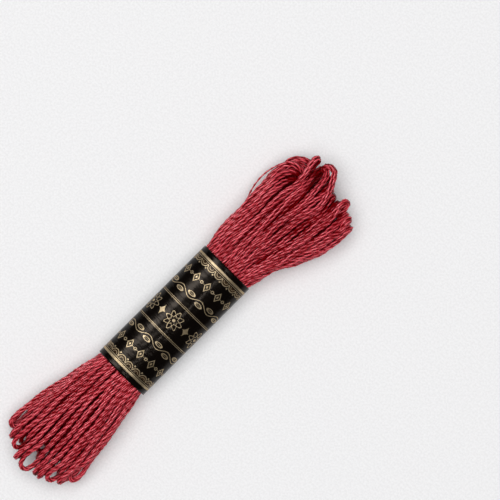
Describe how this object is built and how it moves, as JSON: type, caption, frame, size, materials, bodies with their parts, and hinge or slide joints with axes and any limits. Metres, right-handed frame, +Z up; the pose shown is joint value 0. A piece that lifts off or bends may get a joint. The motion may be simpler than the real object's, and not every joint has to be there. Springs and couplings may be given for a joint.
{
  "type": "skein of embroidery floss",
  "caption": "Skein of six-strand cotton embroidery floss: looped turns fanned out at both ends and held at the middle by a paper band.",
  "frame": {"origin": "middle of the underside, on the surface that the skein lies on", "axes": "+Y along the skein towards its wider fan, +X across it, +Z up"},
  "size_m": [0.0228, 0.0874, 0.0086],
  "materials": {
    "floss": "lustrous twisted cotton",
    "paper": "glossy black with gold print"
  },
  "bodies": {
    "root": {"hank": "floss", "band": "paper"}
  },
  "joints": []
}
